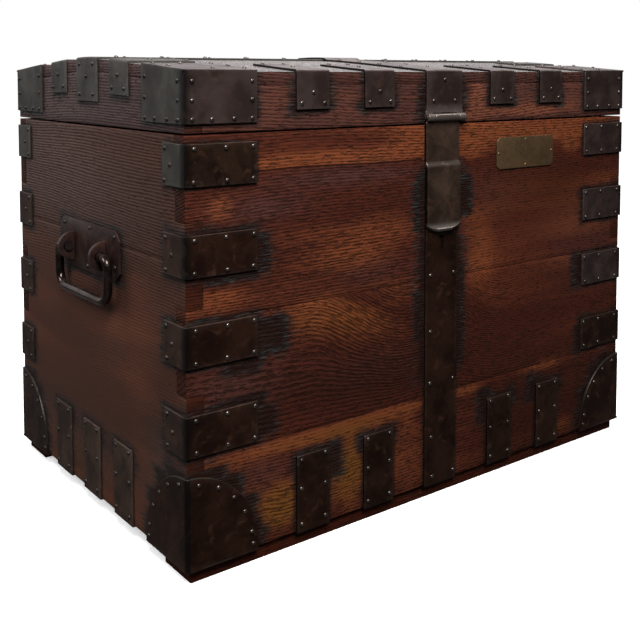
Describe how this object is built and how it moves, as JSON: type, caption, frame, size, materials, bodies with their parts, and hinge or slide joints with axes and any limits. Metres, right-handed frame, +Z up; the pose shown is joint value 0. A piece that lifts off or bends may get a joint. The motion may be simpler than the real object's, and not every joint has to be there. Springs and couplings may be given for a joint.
{
  "type": "iron-bound silver chest",
  "caption": "Oak silver chest bound with riveted iron straps, with a cambered lid, hinged hasp, lock and drop handles.",
  "frame": {"origin": "on the floor under the middle of the chest's whole outline, lid shut", "axes": "+X to the right along the front, +Y from the front (the hasp's side) to the back, +Z up"},
  "size_m": [0.828, 0.5272, 0.5934],
  "materials": {
    "oak": "aged red-brown, worn polish",
    "iron": "wrought, browned and worn",
    "brass": "dull, unpolished",
    "baize": "woollen nap"
  },
  "bodies": {
    "chest": {"front_panel": "oak", "back_panel": "oak", "left_end_panel": "oak", "right_end_panel": "oak", "bottom_board": "oak", "front_skid": "oak", "rear_skid": "oak", "chest_lining": "baize", "corner_strap_1_front_left": "iron", "corner_strap_1_front_right": "iron", "corner_strap_1_back_left": "iron", "corner_strap_1_back_right": "iron", "corner_strap_2_front_left": "iron", "corner_strap_2_front_right": "iron", "corner_strap_2_back_left": "iron", "corner_strap_2_back_right": "iron", "corner_strap_3_front_left": "iron", "corner_strap_3_front_right": "iron", "corner_strap_3_back_left": "iron", "corner_strap_3_back_right": "iron", "corner_strap_4_front_left": "iron", "corner_strap_4_front_right": "iron", "corner_strap_4_back_left": "iron", "corner_strap_4_back_right": "iron", "foot_bracket_front_left": "iron", "foot_bracket_front_right": "iron", "foot_bracket_back_left": "iron", "foot_bracket_back_right": "iron", "left_hinge_body_leaf": "iron", "right_hinge_body_leaf": "iron", "lock_strap": "iron", "lock_case": "iron", "name_plate": "brass", "left_handle_plate": "iron", "right_handle_plate": "iron"},
    "lid": {"lid_front_rail": "oak", "lid_back_rail": "oak", "lid_left_end": "oak", "lid_right_end": "oak", "lid_top": "oak", "lid_lining": "baize", "lid_cap_front_left": "iron", "lid_cap_front_right": "iron", "lid_cap_back_left": "iron", "lid_cap_back_right": "iron", "ridge_strap": "iron", "lid_centre_strap": "iron", "left_hinge_lid_leaf": "iron", "right_hinge_lid_leaf": "iron", "left_hinge_pin": "iron", "right_hinge_pin": "iron", "hasp_pin": "iron"},
    "hasp": {"hasp": "iron", "hasp_staple": "iron"},
    "left_bail": {"left_bail": "iron"},
    "right_bail": {"right_bail": "iron"},
    "lock_bolt": {"lock_bolt": "iron"}
  },
  "joints": [
    {"name": "lid_hinge", "type": "hinge", "parent": "chest", "child": "lid", "pos_m": [0, 0.25825, 0.5029], "axis": [-1, 0, 0], "range_deg": [0, 105]},
    {"name": "hasp_hinge", "type": "hinge", "parent": "lid", "child": "hasp", "pos_m": [0, -0.25485, 0.5115], "axis": [-1, 0, 0], "range_deg": [0, 180]},
    {"name": "left_bail_hinge", "type": "hinge", "parent": "chest", "child": "left_bail", "pos_m": [-0.401, 0.00145, 0.34], "axis": [0, 1, 0], "range_deg": [0, 180]},
    {"name": "right_bail_hinge", "type": "hinge", "parent": "chest", "child": "right_bail", "pos_m": [0.401, 0.00145, 0.34], "axis": [0, -1, 0], "range_deg": [0, 180]},
    {"name": "bolt_slide", "type": "slide", "parent": "chest", "child": "lock_bolt", "axis": [1, 0, 0], "range_m": [0, 0.012]}
  ]
}
